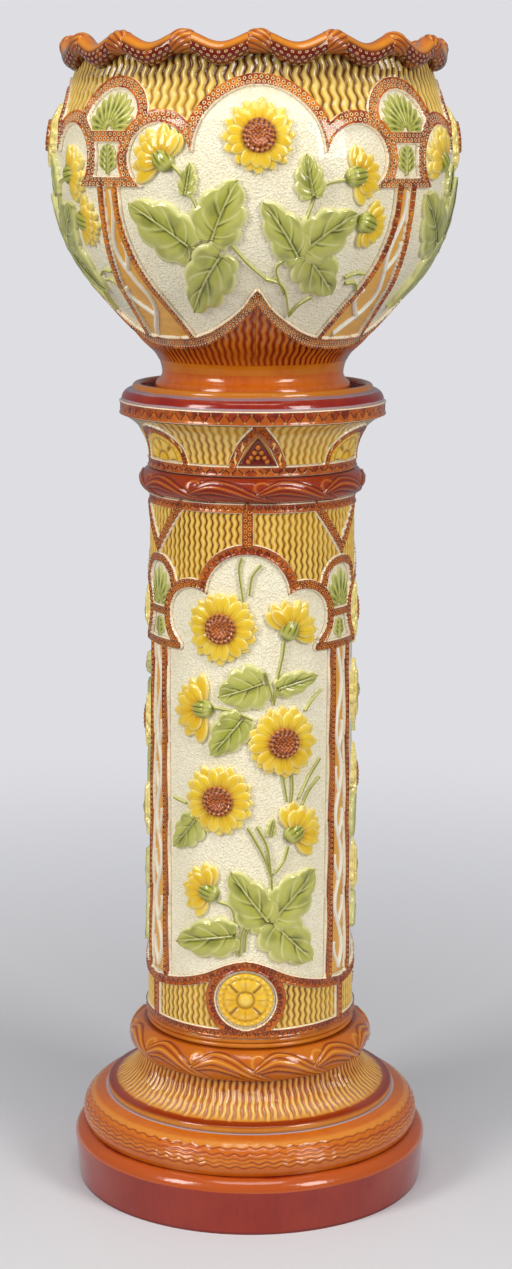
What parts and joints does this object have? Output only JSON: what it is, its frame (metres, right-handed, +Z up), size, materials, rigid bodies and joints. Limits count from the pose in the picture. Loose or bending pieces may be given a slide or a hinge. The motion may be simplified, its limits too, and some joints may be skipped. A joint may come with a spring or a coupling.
{
  "type": "jardiniere on stand",
  "caption": "Round footed planter bowl with a wavy rim, standing loose on a tall columnar pedestal; glazed earthenware with moulded relief.",
  "frame": {"origin": "centre of the plinth's underside, on the floor", "axes": "+Z up, -Y towards the front panel of the stand"},
  "size_m": [0.3956, 0.3956, 1.1236],
  "materials": {
    "red_glaze": "dark red-brown lead glaze, glossy",
    "amber_glaze": "amber lead glaze, glossy",
    "strap_glaze": "rust-brown lead glaze over raised straps, glossy",
    "cream_glaze": "cream lead glaze over stippled ground, glossy",
    "ochre_glaze": "ochre lead glaze over combed ground, glossy",
    "green_glaze": "leaf-green lead glaze, glossy",
    "yellow_glaze": "bright yellow lead glaze, glossy",
    "disc_glaze": "rust-brown lead glaze on beaded flower discs, glossy",
    "pale_glaze": "milky white lead glaze, glossy"
  },
  "bodies": {
    "stand": {"plinth": "red_glaze", "base_torus": "amber_glaze", "base_flare": "amber_glaze", "base_rope_ring": "amber_glaze", "shaft_tube": "cream_glaze", "shaft_strapwork": "strap_glaze", "shaft_palmettes": "green_glaze", "shaft_scrolls": "pale_glaze", "shaft_rosettes": "yellow_glaze", "shaft_flower_centres": "disc_glaze", "shaft_sunflowers": "yellow_glaze", "shaft_calyxes": "green_glaze", "shaft_side_flowers": "yellow_glaze", "shaft_leaves": "green_glaze", "shaft_stems": "green_glaze", "capital_rope_ring": "red_glaze", "capital_cove": "ochre_glaze", "capital_strapwork": "strap_glaze", "capital_half_rosettes": "yellow_glaze", "capital_seeds": "amber_glaze", "capital_plate": "red_glaze", "capital_band": "strap_glaze"},
    "jardiniere": {"bowl_foot": "amber_glaze", "bowl_body": "cream_glaze", "rim_festoons": "red_glaze", "rim_twists": "amber_glaze", "bowl_strapwork": "strap_glaze", "bowl_palmettes": "green_glaze", "bowl_scrolls": "pale_glaze", "bowl_flower_centres": "disc_glaze", "bowl_sunflowers": "yellow_glaze", "bowl_calyxes": "green_glaze", "bowl_side_flowers": "yellow_glaze", "bowl_leaves": "green_glaze", "bowl_stems": "green_glaze"}
  },
  "joints": [
    {"name": "jardiniere_lift", "type": "slide", "parent": "stand", "child": "jardiniere", "axis": [0, 0, 1], "range_m": [0, 0.15]}
  ]
}
